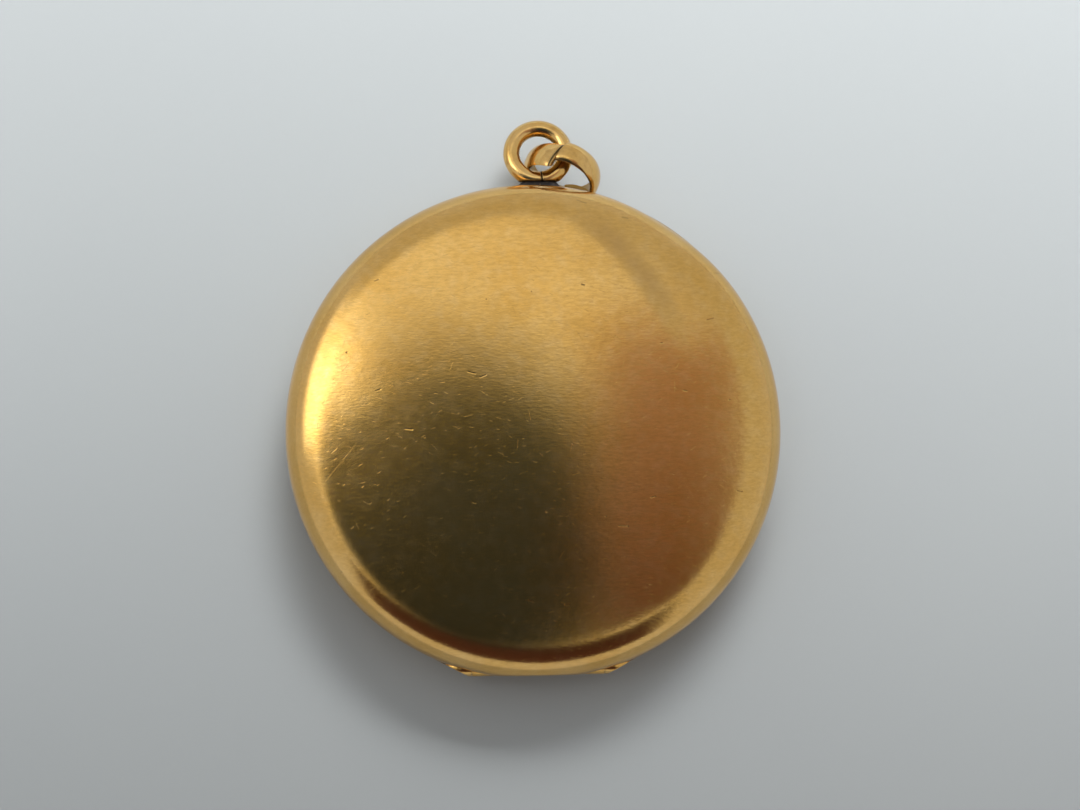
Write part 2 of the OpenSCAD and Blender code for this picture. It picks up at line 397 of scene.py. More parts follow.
def satin_gold():
    """Worn gold plate: rubbed grain, hairline scratches, nicks and small pits."""
    g = Finish("satin_gold")
    flat = g.fit(g.calc("ABSOLUTE", g.node("SeparateXYZ", Vector=g.facing).outputs["Z"]), 0.15, 0.5)
    grain = g.noise(8.0, 3.0, (0.35, 1, 1), 0.6)
    brushed = g.fit(g.noise(7.0, 3.0, (0.28, 1, 1), 0.75), 0.38, 0.66)
    peel = g.noise(2.2, 1.0)
    short = g.hairlines(0.5, 0.16, 0.016, 0.6, 1.4, 1.0)
    any_way = g.hairlines(1.5, 0.34, 0.016, 0.4, seed=5.0)
    long = g.hairlines(5.2, 1.5, 0.014, 0.35, seed=9.0, bend=0.05)
    nicks = g.calc("MULTIPLY", g.hairlines(3.1, 0.32, 0.055, 0.42, 0.8, 14.0), flat)
    strong = g.calc("MULTIPLY", g.calc("MAXIMUM", any_way, g.calc("MULTIPLY", long, 0.45)), flat)
    weak = g.calc("MULTIPLY", short, flat)
    pits = g.pits(0.9, 0.05, 0.35, 3.0)
    # This layer is painted shade with dirt at seams, in corners and under edges.
    grime_and_shade = g.attribute("grime_and_shade")
    wear = g.attribute("wear")
    # This layer is painted shade along the crest of the pressed-in edge.
    rub = g.attribute("rub")
    cloud = g.noise(0.22, 3.0)
    mottle = g.noise(1.6, 4.0)
    tone = g.mix(g.fit(cloud, 0.35, 0.65), GOLD, DEEP_GOLD)
    tone = g.mix(g.fit(mottle, 0.45, 0.75, 0.0, 0.35), tone, PALE_GOLD)
    tone = g.mix(g.calc("MULTIPLY", brushed, 0.4), tone, BRUSHED_GOLD)
    tone = g.mix(g.calc("MULTIPLY", wear, 0.6), tone, PALE_GOLD)
    tone = g.mix(g.calc("MULTIPLY", rub, 0.5), tone, CREASE_SHADE_GOLD)
    tone = g.mix(g.calc("MULTIPLY", pits, 0.75), tone, DARK_GRIME_AND_SHADE)
    tone = g.mix(g.calc("MULTIPLY", nicks, 0.35), tone, DARK_GRIME_AND_SHADE)
    tone = g.mix(grime_and_shade, tone, DARK_GRIME_AND_SHADE)
    rough = g.sum((mottle, 0.05), (cloud, 0.05), (brushed, 0.05), (strong, 0.1), (weak, 0.08), (grime_and_shade, 0.35))
    height = g.sum(
        (grain, 0.0032), (peel, 0.0020), (weak, -0.0016), (strong, -0.0016), (nicks, -0.008), (pits, -0.004)
    )
    return g.finish(
        Base_Color=tone, Metallic=1.0, Roughness=g.calc("ADD", rough, 0.095), Normal=g.bumped(height)
    )


def polished_gold():
    """Gold wire and band, bright where it rubs, dirty in the joints, darkened by painted shade in corners
    and on inner sides.
    """
    g = Finish("polished_gold")
    rub = g.noise(3.0, 3.0, (1, 1, 3))
    scratch = g.fit(g.noise(9.0, 2.0, (0.15, 1, 1)), 0.60, 0.72)
    across = g.fit(g.noise(9.0, 2.0, (1, 0.18, 0.6)), 0.62, 0.74)
    dirt = g.fit(g.noise(1.7, 4.0), 0.55, 0.8, 0.0, 0.5)
    # This layer is painted shade with dirt in corners, along the loop's foot and inside the loop and band.
    grime_and_shade = g.attribute("grime_and_shade")
    wear = g.attribute("wear")
    tone = g.mix(g.fit(rub, 0.35, 0.7), GOLD, DEEP_GOLD)
    tone = g.mix(g.calc("MULTIPLY", wear, 0.7), tone, PALE_GOLD)
    tone = g.mix(dirt, tone, DIRTY_GOLD)
    tone = g.mix(grime_and_shade, tone, DARK_GRIME_AND_SHADE)
    rough = g.sum((rub, 0.08), (dirt, 0.15), (scratch, 0.08), (grime_and_shade, 0.35))
    height = g.sum((rub, 0.006), (scratch, -0.0012), (across, -0.0010))
    return g.finish(
        Base_Color=tone, Metallic=1.0, Roughness=g.calc("ADD", rough, 0.12), Normal=g.bumped(height)
    )


def inner_brass():
    """Dulled brass with fine turning lines and brown stains."""
    g = Finish("inner_brass")
    turning = g.node("TexNoise", {"noise_dimensions": "1D"}, W=g.radius(), Scale=14.0, Detail=3.0)
    rings = turning.outputs["Fac"]
    stain = g.fit(g.noise(0.5, 5.0), 0.45, 0.72)
    # This layer is painted shade with dirt in the corner where the frame sits.
    grime_and_shade = g.attribute("grime_and_shade")
    tone = g.mix(stain, (0.60, 0.40, 0.16), (0.33, 0.19, 0.07))
    tone = g.mix(grime_and_shade, tone, DARK_GRIME_AND_SHADE)
    rough = g.sum((rings, 0.10), (stain, 0.18), (grime_and_shade, 0.3))
    height = g.sum((rings, 0.004), (g.noise(6.0, 3.0), 0.002))
    return g.finish(
        Base_Color=tone, Metallic=1.0, Roughness=g.calc("ADD", rough, 0.24), Normal=g.bumped(height)
    )


def tarnished_solder():
    """Solder, nearly black, with a few rubbed bright spots."""
    g = Finish("tarnished_solder")
    lumps = g.noise(3.5, 4.0)
    spots = g.fit(g.noise(5.0, 3.0), 0.58, 0.72)
    tone = g.mix(g.fit(lumps, 0.3, 0.7), (0.020, 0.018, 0.020), (0.060, 0.050, 0.045))
    tone = g.mix(g.calc("MULTIPLY", spots, 0.5), tone, (0.30, 0.22, 0.12))
    metal = g.fit(spots, 0.0, 1.0, 0.35, 0.9)
    rough = g.fit(spots, 0.0, 1.0, 0.55, 0.3)
    return g.finish(
        Base_Color=tone, Metallic=metal, Roughness=rough, Normal=g.bumped(g.sum((lumps, 0.06)))
    )


def pin_steel():
    """Drawn steel wire with lengthwise lines and rust freckles."""
    g = Finish("pin_steel")
    lines = g.noise(16.0, 2.0, (0.06, 1, 1))
    rust = g.fit(g.noise(4.0, 4.0), 0.56, 0.74)
    tone = g.mix(g.fit(lines, 0.3, 0.7), (0.42, 0.40, 0.37), (0.30, 0.28, 0.26))
    tone = g.mix(rust, tone, (0.13, 0.055, 0.025))
    rough = g.calc("ADD", g.sum((lines, 0.12), (rust, 0.35)), 0.24)
    metal = g.fit(rust, 0.0, 1.0, 1.0, 0.3)
    return g.finish(Base_Color=tone, Metallic=metal, Roughness=rough, Normal=g.bumped(g.sum((lines, 0.003))))


def aged_card():
    """Cream card with paper fibre, foxing spots and a browned edge."""
    g = Finish("aged_card")
    uneven = g.calc("ADD", g.radius(), g.calc("MULTIPLY", g.noise(0.6, 3.0), 2.0))
    fibre = g.noise(7.0, 5.0, (0.35, 1, 1))
    fox = g.pits(2.6, 0.5, 0.45, 4.0)
    cloud = g.noise(0.3, 4.0)
    tone = g.mix(g.fit(cloud, 0.3, 0.7), (0.66, 0.56, 0.38), (0.56, 0.45, 0.28))
    tone = g.mix(g.fit(uneven, 11.4, 13.4, 0.0, 0.8), tone, (0.34, 0.22, 0.11))
    tone = g.mix(g.calc("MULTIPLY", fox, 0.45), tone, (0.36, 0.20, 0.08))
    tone = g.mix(g.fit(fibre, 0.45, 0.75, 0.0, 0.16), tone, (0.40, 0.32, 0.20))
    rough = g.fit(fibre, 0.3, 0.7, 0.78, 0.95)
    return g.finish(
        Base_Color=tone, Roughness=rough, Normal=g.bumped(g.sum((fibre, 0.02))), Specular_IOR_Level=0.3
    )


def celluloid():
    """Thin yellowed window, scratched and slightly hazy."""
    g = Finish("celluloid")
    lines = g.calc("MAXIMUM", g.hairlines(1.6, 0.8, 0.02, 0.6), g.hairlines(5.0, 2.4, 0.02, 0.6, seed=6.0))
    haze = g.noise(0.7, 4.0)
    tone = g.mix(g.fit(haze, 0.3, 0.7), (0.97, 0.93, 0.80), (0.94, 0.88, 0.70))
    rough = g.calc("ADD", g.sum((g.fit(haze, 0.4, 0.8), 0.08), (lines, 0.25)), 0.05)
    height = g.sum((g.noise(0.35, 1.0), 0.02), (lines, -0.002))
    return g.finish(
        Base_Color=tone, Roughness=rough, Normal=g.bumped(height), Transmission_Weight=1.0, IOR=1.49
    )


SATIN, POLISHED, BRASS = satin_gold(), polished_gold(), inner_brass()
SOLDER, STEEL, CARD, WINDOW = tarnished_solder(), pin_steel(), aged_card(), celluloid()


# ---------------------------------------------------------------- covers

EDGE = 0.07
COVER_STEPS = 540


def cover_line(centre_line):
    """A closed cover section, outside then inside, from centre_line(inset)."""
    outside = centre_line(0.0)
    inside = centre_line(SHEET)
    lip = arc(CASE_R - EDGE, SEAM_GAP + EDGE, EDGE, 0, -90, 5)[1:]
    lip += arc(CASE_R - SHEET + EDGE, SEAM_GAP + EDGE, EDGE, -90, -180, 5)[:-1]
    return outside + [(CASE_R, SEAM_GAP + EDGE)] + lip + [(CASE_R - SHEET, SEAM_GAP + EDGE)] + inside[::-1]


def eased(line, reach, spacing):
    """The profile with its changes of curvature spread over a short reach.

    spacing gives the longest step in millimetres and the largest turn in degrees between two points.
    """
    line = np.array(line)
    steps = np.hypot(*np.diff(line, axis=0).T)
    length = np.concatenate(([0], np.cumsum(steps)))
    fine = np.linspace(0, length[-1], 1600)
    order = np.arange(len(fine))
    middles = (length[:-1] + length[1:]) / 2
    slope = np.interp(fine, middles, np.unwrap(np.arctan2(*np.diff(line, axis=0).T[::-1])))
    pad = int(reach / fine[1])
    kernel = np.hanning(2 * pad + 1)
    wide = np.concatenate((2 * slope[0] - slope[pad:0:-1], slope, 2 * slope[-1] - slope[-2 : -pad - 2 : -1]))
    slope = np.convolve(wide, kernel / kernel.sum(), "valid")
    heading = np.column_stack((np.cos(slope), np.sin(slope)))[:-1]
    path = np.concatenate(([[0, 0]], np.cumsum(heading, axis=0)))
    path = (path - path[0]) / (path[-1] - path[0]) * (line[-1] - line[0]) + line[0]
    bend = np.concatenate(([0], np.cumsum(np.abs(np.diff(slope)))))
    measure = fine / spacing[0] + bend / math.radians(spacing[1])
    at = np.interp(np.linspace(0, measure[-1], int(measure[-1])), measure, order)
    return [(np.interp(i, order, path[:, 0]), np.interp(i, order, path[:, 1])) for i in at]


def front_line(inset):
    """Crown and rolled edge of the front, as (radius, height above the seam)."""
    crown = arc(0, CROWN_H, CROWN_R - inset, 90, CROWN_A, 24 if inset else 58)
    roll = arc(ROLL_X, ROLL_H, ROLL_R - inset, CROWN_A, 0, 14 if inset else 38)
    line = crown + roll[1:]
    return line if inset else eased(line, 1.4, (0.22, 3.2))


def back_line(inset):
    """Flat, shoulder and rolled edge of the back, as (radius, depth below the seam)."""
    flat = [(r, SEAM - inset) for r in np.linspace(0, FLAT_R, 8 if inset else 26)]
    shoulder = arc(FLAT_R, SHOULDER_H, SHOULDER_R - inset, 90, SHOULDER_A, 12 if inset else 26)
    roll = arc(ROLL_X, ROLL_H, ROLL_R - inset, SHOULDER_A, 0, 14 if inset else 34)
    line = flat + shoulder[1:] + roll[1:]
    return line if inset else eased(line, 1.2, (0.25, 3.2))


CREASE_START, CREASE_END = np.array((2.6, 12.6)), np.array((8.3, 5.6))
CREASE_HALF, CREASE_DEPTH, CREASE_BOW, CREASE_MID, CREASE_SHIFT = 0.75, 0.10, 0.035, 4.5, 0.4
# Where the painted shade along the pressed-in edge lies.
CREASE_SHADE_MID, CREASE_SHADE_HALF = 0.1, 0.62
PRESS_A, PRESS_SPREAD, PRESS_DEPTH = 55, 13, 0.13
DING_AT, DING_STRETCH, DING_SIZE, DING_DEPTH = (-7.2, -6.1), 1.8, 0.5, 0.006
FRONT_WAVE, FRONT_RIPPLE, BACK_WAVE = 0.012, 0.0025, 0.010
BACK_DINGS = (((4.2, 2.5), 0.6, 0.02), ((-5.5, -3.0), 0.4, 0.02), ((1.0, 8.8), 0.8, 0.03))


def crease_place(co):
    """How far each point is along the pressed-in edge, and past its bowed line."""
    way = (CREASE_END - CREASE_START) / np.linalg.norm(CREASE_END - CREASE_START)
    off = co[:, :2] - CREASE_START
    along = off @ way
    bow = CREASE_BOW * (along - CREASE_MID) ** 2 - CREASE_SHIFT
    return along, off[:, 1] * way[0] - off[:, 0] * way[1] + bow


def front_dents(co):
    """The pressed-in edge beside the neck, a small ding and slow waves."""
    out = co.copy()
    radius = np.hypot(co[:, 0], co[:, 1])
    along, past = crease_place(co)
    step = smoothstep(past, -CREASE_HALF, CREASE_HALF)
    ends = smoothstep(along, -1.2, 2.2) * (1 - smoothstep(along, 6.0, 11.5))
    top = smoothstep(co[:, 2] - SEAM, 0.4, 2.6)
    out[:, 2] -= CREASE_DEPTH * step * ends * top
    angle = np.degrees(np.arctan2(co[:, 1], co[:, 0]))
    press = np.exp(-(((angle - PRESS_A) / PRESS_SPREAD) ** 2)) * smoothstep(radius, 11.5, 14)
    out[:, :2] -= (PRESS_DEPTH * press / np.maximum(radius, 1e-6))[:, None] * co[:, :2]
    ding = np.hypot(co[:, 0] - DING_AT[0], (co[:, 1] - DING_AT[1]) * DING_STRETCH) / DING_SIZE
    out[:, 2] -= DING_DEPTH * top * np.exp(-(ding**2))
    waves = FRONT_WAVE * (1 + ripple(co, 0.21, 3.0)) + FRONT_RIPPLE * (1 + ripple(co, 0.7, 8.0))
    out[:, 2] -= top * waves
    return out


def crease_shade(co):
    """Painted shade along the crest of the pressed-in edge."""
    along, past = crease_place(co)
    ends = smoothstep(along, -0.6, 2.6) * (1 - smoothstep(along, 5.5, 10.0))
    uneven = 0.85 + 0.3 * ripple(co, 1.3, 6.0)
    return np.exp(-(((past - CREASE_SHADE_MID) / CREASE_SHADE_HALF) ** 2)) * ends * (co[:, 2] > SEAM + 1) * uneven


def back_dents(co):
    """Slow waves and three small dings, kept off the plane that the back rests on."""
    out = co.copy()
    low = smoothstep(SEAM - co[:, 2], 0.4, 2.6)
    out[:, 2] += BACK_WAVE * low * (1 + ripple(co, 0.24, 5.0))
    for (dx, dy), size, depth in BACK_DINGS:
        out[:, 2] += depth * low * np.exp(-((co[:, 0] - dx) ** 2 + (co[:, 1] - dy) ** 2) / size**2)
    return out


FILED_X, FILED_SLOPE, FILED_SOFT = 2.4, 0.206, 0.04


def filed_flat(co):
    """The cover's edge filed flush with the hinge and back from its ends."""
    out = co.copy()
    line = HINGE_LINE + FILED_SLOPE * np.maximum(np.abs(co[:, 0]) - FILED_X, 0)
    near = (co[:, 1] < line + 0.3) & (np.abs(co[:, 0]) < CASE_R / 2)
    worn = np.log1p(np.exp(np.clip((line - co[:, 1]) / FILED_SOFT, -40, 40))) * FILED_SOFT
    out[near, 1] = np.maximum(co[near, 1] + worn[near], line[near])
    return out


def cover_shade_and_grime(co):
    """Painted shade with dirt along the edge towards the seam, outside and inside."""
    h = np.abs(co[:, 2] - SEAM)
    seam = 1 - smoothstep(h, 0.05, 0.17)
    within = CASE_R - 0.2 - np.hypot(co[:, 0], co[:, 1])
    inner = smoothstep(within, 0.0, 0.15) * (1 - smoothstep(h, 0.3, 1.2))
    speck = smoothstep(ripple(co, 1.1, 12.0), 0.2, 0.6)
    return 0.75 * seam * (0.55 + 0.45 * speck) + 0.5 * inner


def cover_wear(co):
    """Rubbed paler where the edge turns over."""
    radius = np.hypot(co[:, 0], co[:, 1])
    return np.exp(-(((radius - 13.6) / 0.5) ** 2)) * (0.5 + 0.5 * ripple(co, 0.5, 4.0))


def front_relief():
    """Cut from the front half for the hinge barrel and its ears."""
    half = math.sqrt(CASE_R**2 - AXIS_Y**2) + 0.1
    return [
        rod(-half, half, AXIS_Y, SEAM, NOTCH_R),
        block((-half, AXIS_Y - 3, SEAM - 3), (half, AXIS_Y, SEAM + 0.8 * NOTCH_R)),
    ]


def back_relief():
    """Cut from the back half for the hinge barrel."""
    half = RELIEF_W / 2
    return [
        rod(-half, half, AXIS_Y, SEAM, NOTCH_R),
        block((-half, AXIS_Y + BARREL_R / 4 - 3, -3), (half, AXIS_Y + BARREL_R / 4, SEAM + 3)),
    ]


def cover(side, line, up, changes, relief, paints):
    """One pressed cover, worn by the changes, cut for the hinge and painted."""
    name = side + "_cover"
    made = turned(name, cover_line(line), up, COVER_STEPS)
    for change in changes:
        moved(made, change)
    combine(made, "DIFFERENCE", *relief)
    for layer, amount in paints.items():
        paint(made, layer, amount)
    place(made, name, side + "_shell", SATIN, side + "_half")


PAINTS = {"grime_and_shade": cover_shade_and_grime, "wear": cover_wear}
# The rub layer of the front is painted shade along the pressed-in edge.
cover("front", front_line, 1, (front_dents, filed_flat), front_relief(), PAINTS | {"rub": crease_shade})
cover("back", back_line, -1, (back_dents,), back_relief(), PAINTS)


# ---------------------------------------------------------------- inside each half

SEAT_R, SIGHT_R, DISC_R = 13.2, 11.7, 12.6
DISC_T = 0.18
FRAME_H, FRAME_LIP = 0.62, 0.2
WINDOW_H = FRAME_H + FRAME_LIP + PLAY
CARD_H = WINDOW_H + DISC_T + PLAY
FRAME_END = CARD_H + DISC_T + PLAY
LINER_H = FRAME_END + PLAY
SHELF_H, SHELF_T, SHELF_R = LINER_H + DISC_T + PLAY, 0.2, 11.9
FRAME_R = SEAT_R - PLAY
COLLAR_RO, COLLAR_UP, COLLAR_DOWN, COLLAR_GAP = 13.48, 0.42, 0.4, 22
RIM_FIT = SHEET + PLAY
BEAD_R, WINDOW_BULGE, CARD_WARP = 0.10, 0.05, 0.008


def rim_line(top_r, top_h):
    """Section of the ring that fills the rolled edge and carries the liner's shelf."""
    a = math.degrees(math.acos((SEAT_R - ROLL_X) / (ROLL_R - RIM_FIT)))
    corners = [(top_r, SEAM_GAP), (CASE_R - RIM_FIT, SEAM_GAP)]
    corners += arc(ROLL_X, ROLL_H, ROLL_R - RIM_FIT, 0, a, 10)
    corners += [(SEAT_R, SHELF_H + SHELF_T), (SHELF_R, SHELF_H + SHELF_T)]
    corners += [(SHELF_R, SHELF_H), (SEAT_R, SHELF_H)]
    return rounded(corners + [(SEAT_R, top_h), (top_r, top_h)], 0.035)


def disc_line(h, bulge=0.0):
    """Section of a thin disc with eased edges, bulged towards the seam in the middle."""
    towards = [(r, h - bulge * (1 - (r / DISC_R) ** 2)) for r in np.linspace(0, DISC_R, 22)]
    away = [(r, h + DISC_T) for r in np.linspace(DISC_R, 0, 12)]
    return rounded(towards + away, 0.03, 2)


def liner_line():
    """Section of the plate that closes the hollow of the cover."""
    end = LINER_H + DISC_T
    return rounded([(0, LINER_H), (FRAME_R, LINER_H), (FRAME_R, end), (0, end)], 0.04)


def frame_line():
    """Section of the pressed picture frame: a half-round bead, a flat lip and a skirt."""
    bead = arc(SIGHT_R + BEAD_R, FRAME_H + BEAD_R, BEAD_R, 180, 270, 6)
    groove = [(SIGHT_R + 0.32, FRAME_H), (SIGHT_R + 0.38, FRAME_H + 0.05), (SIGHT_R + 0.50, FRAME_H + 0.05)]
    groove += [(SIGHT_R + 0.56, FRAME_H)]
    outer = arc(FRAME_R - 0.09, FRAME_H + 0.09, 0.09, -90, 0, 5)
    skirt = [(FRAME_R, FRAME_END), (DISC_R + PLAY, FRAME_END), (DISC_R + PLAY, FRAME_H + FRAME_LIP)]
    return bead + rounded(groove, 0.03, 2)[3:-3] + outer + skirt + [(SIGHT_R, FRAME_H + FRAME_LIP)]


def bent_card(co):
    """A cut card, never quite flat."""
    out = co.copy()
    out[:, 2] += CARD_WARP * ripple(co, 0.25, 7.0)
    return out


def rim_shade_and_grime(co):
    """Painted shade with dirt in the corner where the frame sits."""
    radius = np.hypot(co[:, 0], co[:, 1])
    corner = np.exp(-(((radius - SEAT_R) / 0.12) ** 2))
    return 0.6 * corner * (0.6 + 0.4 * ripple(co, 0.8, 2.0))


def inside(side, up, rim_top_r, rim_top_h, relief):
    """The ring, plate, card, window and frame in one half of the case."""
    parts = (
        ("_rim", "_rim_ring", rim_line(rim_top_r, rim_top_h), BRASS, "inner_brass"),
        ("_liner", "_liner_plate", liner_line(), BRASS, "inner_brass"),
        ("_card", "_photo_card", disc_line(CARD_H), CARD, "aged_card"),
        ("_window_disc", "_window", disc_line(WINDOW_H, WINDOW_BULGE), WINDOW, "celluloid"),
        ("_frame", "_photo_frame", frame_line(), POLISHED, "polished_gold"),
    )
    for name, node, line, material, slot in parts:
        made = turned(side + name, line, up)
        if name == "_rim":
            combine(made, "DIFFERENCE", *relief)
        if name == "_card":
            moved(made, bent_card)
        if name in ("_rim", "_frame"):
            paint(made, "grime_and_shade", rim_shade_and_grime)
        place(made, side + name, side + node, material, side + "_half")


def snap_ring():
    """The upright collar on the back half, open at the hinge."""
    section = [(SEAT_R + PLAY, -COLLAR_DOWN), (COLLAR_RO, -COLLAR_DOWN), (COLLAR_RO, COLLAR_UP - 0.1)]
    section += [(COLLAR_RO - 0.1, COLLAR_UP), (SEAT_R + PLAY + 0.05, COLLAR_UP)]
    section += [(SEAT_R + PLAY, COLLAR_UP - 0.05)]
    made = turned("snap_ring", rounded(section, 0.03), 1, 320, COLLAR_GAP)
    paint(made, "wear", lambda co: smoothstep(co[:, 2] - SEAM, 0.15, 0.35))
    place(made, "snap_ring", "snap_collar", POLISHED, "back_half")


inside("back", -1, COLLAR_RO + PLAY, COLLAR_DOWN + PLAY, back_relief())
inside("front", 1, COLLAR_RO + 2 * PLAY, 0.5, front_relief())
snap_ring()


# ---------------------------------------------------------------- hinge

OUTER_W = (HINGE_W - MIDDLE_W) / 2 - KNUCKLE_GAP
WEB_T, END_WEAR = 0.06, 0.012
OUTER_BORE, MIDDLE_BORE = PIN_R + 0.005, PIN_R + 0.025
EAR_TAPER = ((EAR_IN, 0.54), (4.15, 0.54), (4.4, 0.52), (4.65, 0.46), (4.9, 0.37), (5.1, 0.26), (5.25, 0.12))
EAR_BITE = 0.05
UP = np.array((0, 0, 1))


def circle_x(x, r, angles):
    """Points of a circle round the hinge axis at x. r may differ for each angle."""
    radii = np.broadcast_to(r, len(angles))
    return [(x, AXIS_Y + q * math.cos(a), SEAM + q * math.sin(a)) for q, a in zip(radii, angles)]


def knuckle(side_name, x0, w, bore, side, body):
    """A rolled tube with worn ends, thicker where it joins its half."""
    name = "knuckle_" + side_name
    angles = np.linspace(0, 2 * math.pi, 96, endpoint=False)
    behind = [smoothstep(side * math.sin(a), 0.1, 0.25) * (math.cos(a) > 0) for a in angles]
    web = BARREL_R + WEB_T * np.array(behind)
    ends = [(0.0, 0.05), (0.015, 0.015), (0.05, 0.0)]
    stations = ends + [(s, 0.0) for s in np.linspace(0.2, w - 0.2, 7)] + [(w - s, c) for s, c in ends[::-1]]
    sections = []
    for s, chamfer in stations:
        worn = chamfer + END_WEAR * (1 + noise.noise(Vector((s * 1.5, x0, 3.0))))
        sections.append(circle_x(x0 + s, web - worn, angles))
    for s, chamfer in [(w, 0.03), (w - 0.03, 0.0), (w / 2, 0.0), (0.03, 0.0), (0.0, 0.03)]:
        sections.append(circle_x(x0 + s, bore + chamfer, angles))
    tube = loft(name, sections, ring=True)
    inner_ends = [x for x in (x0, x0 + w) if abs(x) < HINGE_W / 2 - PLAY]

    # Painted shade with dirt on the knuckle's inner ends, in the gaps between knuckles.
    def end_shade_and_grime(co):
        from_end = np.min([np.abs(co[:, 0] - x) for x in inner_ends], axis=0)
        return 0.9 * (1 - smoothstep(from_end, 0.02, 0.12))

    paint(tube, "grime_and_shade", end_shade_and_grime)
    place(tube, name, "hinge_" + name, SATIN, body)


def hinge_wire():
    """The pin, with rounded ends."""
    angles = np.linspace(0, 2 * math.pi, 48, endpoint=False)
    ends = [(0.0, 0.02), (0.03, 0.12), (0.07, 0.2), (0.12, 0.245), (0.2, PIN_R)]
    stations = [(-HINGE_W / 2 + s, r) for s, r in ends] + [(x, PIN_R) for x in np.linspace(-3, 3, 9)]
    stations += [(HINGE_W / 2 - s, r) for s, r in ends[::-1]]
    pin = loft("pin", [circle_x(x, r, angles) for x, r in stations])
    place(pin, "hinge_wire", "hinge_pin", STEEL, "back_half")


def back_rim_solid(top, gap=PLAY):
    """The outside of the back half, grown by a gap, up to a height above the seam."""
    line = [(0, -3.5), (ROLL_X, -ROLL_H - ROLL_R)] + arc(ROLL_X, -ROLL_H, ROLL_R + gap, -90, 0, 30)
    return turned("cutter", line + [(CASE_R + gap, top), (0, top)], 1, 720)


def ear(side_name, side):
    """The fairing between the barrel's end and the rim, filed tangent to the case."""
    length = math.sqrt(EAR_X**2 + HINGE_LINE**2 - CASE_R**2)
    a = math.atan2(EAR_X, -HINGE_LINE) + math.atan2(length, CASE_R)
    way = np.array((math.cos(a), math.sin(a), 0))
    out = np.array((-math.sin(a), math.cos(a), 0))
    start = np.array((EAR_X, HINGE_LINE, SEAM))
    end = start + way * (length + 0.2)
    circle = np.linspace(0, 2 * math.pi, 64, endpoint=False)
    round_points = [out * BARREL_R + BARREL_R * (math.cos(c) * out + math.sin(c) * UP) for c in circle]
    name = "ear_" + side_name
    made = loft(name, [[start + way * s + q for q in round_points] for s in (-3.0, length + 1)])
    low, high = (EAR_X, HINGE_LINE - 1, SEAM - 1), (EAR_X + length, -12, SEAM - SEAM_GAP)
    combine(made, "INTERSECT", block(low, high))
    combine(made, "UNION", loft("cutter", [circle_x(x, r, circle) for x, r in EAR_TAPER]))
    filed = [(EAR_IN, -12), (EAR_IN, HINGE_LINE), tuple(start[:2]), tuple(end[:2]), (end[0], -12)]
    combine(made, "INTERSECT", loft("cutter", [[(*q, z) for q in filed] for z in (SEAM - 1, SEAM + 1)]))
    combine(made, "DIFFERENCE", back_rim_solid(0.02, -EAR_BITE))
    softened(made, 0.02, 2)
    if side < 0:
        made.data.transform(Matrix.Scale(-1, 4, (1, 0, 0)))
        made.data.flip_normals()
    paint(made, "grime_and_shade", lambda co: 0.3 * smoothstep(ripple(co, 1.6, 4.0), 0.1, 0.5))
    paint(made, "wear", lambda co: smoothstep(HINGE_LINE + 0.35 - co[:, 1], 0.0, 0.3))
    place(made, name, "hinge_" + name, SATIN, "back_half", 60)


knuckle("left", -HINGE_W / 2, OUTER_W, OUTER_BORE, -1, "back_half")
knuckle("right", HINGE_W / 2 - OUTER_W, OUTER_W, OUTER_BORE, -1, "back_half")
knuckle("middle", -MIDDLE_W / 2, MIDDLE_W, MIDDLE_BORE, 1, "front_half")
hinge_wire()
ear("left", -1)
ear("right", 1)


# ---------------------------------------------------------------- thumb lip, saddle, neck loop

LIP_A, LIP_OUT, LIP_R, LIP_T, LIP_DROP = math.radians(10.5), 0.3, 1.8, 0.45, 0.06
SOLDER_TOP = 0.1
JOINT_A, JOINT_HALF, JOINT_PINCH = -84, 1.6, 0.10
RUBBED_A, RUBBED_SPREAD, RUBBED_DEPTH = 20, 40, 0.03
WIRE_WOBBLE = 0.008
LEAN = math.radians(LOOP_LEAN)
LOOP_RIGHT = np.array((1.0, 0, 0))
LOOP_UP = np.array((0, math.cos(LEAN), -math.sin(LEAN)))
LOOP_AXIS = np.array((0, math.sin(LEAN), math.cos(LEAN)))


def thumb_catch():
    """A thin rounded lip on the back half, beside the neck."""
    low = span("thumb_lip")[0]
    middle = CASE_R + LIP_OUT - LIP_R
    outline = arc(middle * math.sin(LIP_A), middle * math.cos(LIP_A), LIP_R, 0, 360, 161)[:-1]
    lip = loft("lip", [[(*q, z) for q in outline] for z in (SEAM - LIP_T - LIP_DROP, SEAM - LIP_DROP)])
    combine(lip, "DIFFERENCE", back_rim_solid(SOLDER_TOP), block((low[0] - 6, 8, 0), (low[0], 16, 7)))
    combine(lip, "DIFFERENCE", block((-6, -16, 0), (9, 13, 7)))
    softened(lip, 0.02, 3)

    # Painted shade with dirt: darkened all over, darkest against the rim under the cover's edge.
    def lip_shade_and_grime(co):
        past_rim = np.hypot(co[:, 0], co[:, 1]) - CASE_R
        return 0.55 + 0.4 * (1 - smoothstep(past_rim, 0.03, 0.14))

    paint(lip, "grime_and_shade", lip_shade_and_grime)
    place(lip, "thumb_catch", "thumb_lip", SATIN, "back_half", 60)


def lumpy(co):
    """Uneven solder, kept inside its own box."""
    middle = (co.min(axis=0) + co.max(axis=0)) / 2
    return middle + (co - middle) * (0.965 + 0.03 * ripple(co, 2.4, 6.0))[:, None]


